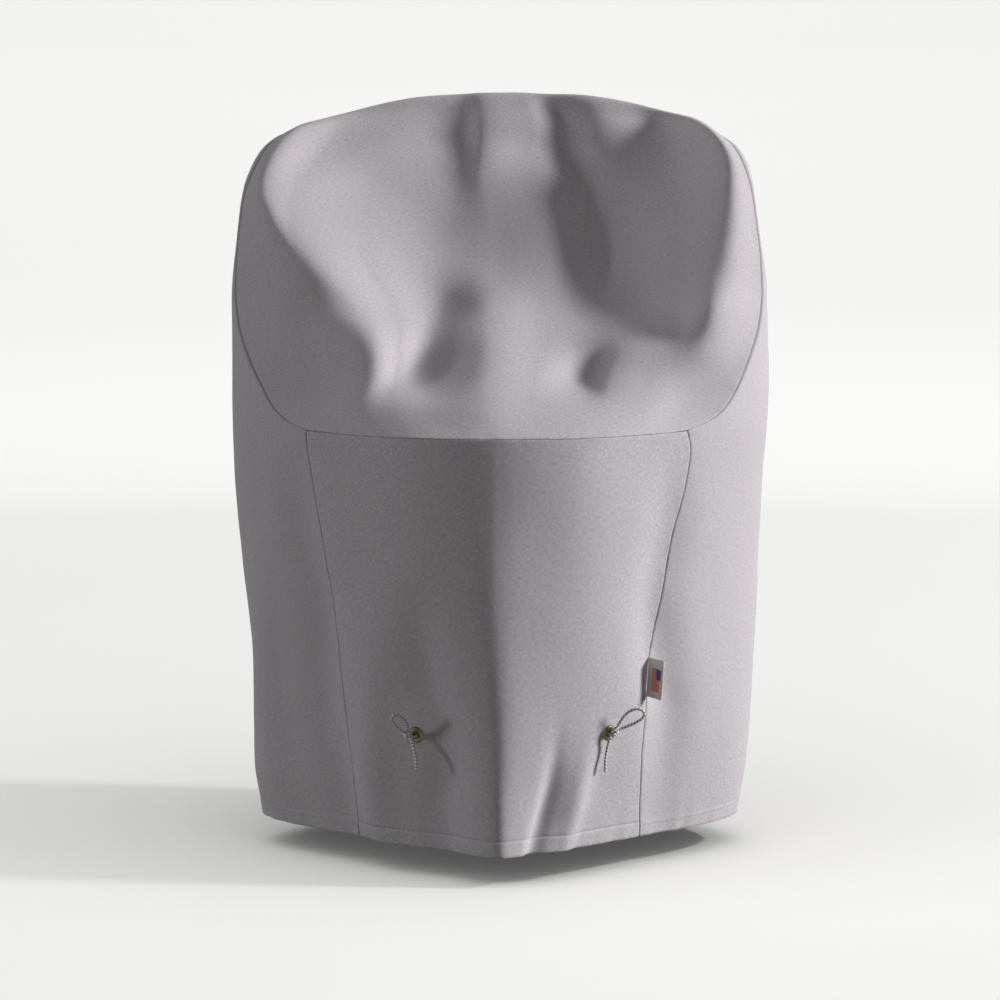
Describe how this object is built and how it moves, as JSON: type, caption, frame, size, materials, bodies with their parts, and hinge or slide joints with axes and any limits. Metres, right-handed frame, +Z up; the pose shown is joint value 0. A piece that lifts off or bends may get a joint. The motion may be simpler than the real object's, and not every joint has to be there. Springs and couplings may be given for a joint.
{
  "type": "dining chair cover",
  "caption": "Fitted hollow cloth cover for an armchair-style dining chair, pointed skirt front, draped lap up to the back, short tie cords at brass eyelets, side label.",
  "frame": {"origin": "under the middle of the cover's top edge, on its inner face, where the chair's back holds it up", "axes": "+Z up, -Y to the front corner of the skirt, +X to the viewer's right"},
  "size_m": [0.6268, 0.5722, 0.8497],
  "materials": {
    "cover_cloth": "matte woven",
    "eyelet_brass": "dull antique",
    "tie_cord": "braided",
    "label_ribbon": "smooth woven"
  },
  "bodies": {
    "root": {"lap_and_back_panel": "cover_cloth", "front_panel": "cover_cloth", "side_panel_right": "cover_cloth", "side_panel_left": "cover_cloth", "eyelet_right": "eyelet_brass", "eyelet_left": "eyelet_brass", "tie_right_stem": "tie_cord", "tie_right_knot": "tie_cord", "tie_right_loop": "tie_cord", "tie_right_tail": "tie_cord", "tie_left_stem": "tie_cord", "tie_left_knot": "tie_cord", "tie_left_loop": "tie_cord", "tie_left_tail": "tie_cord", "label": "label_ribbon"}
  },
  "joints": []
}
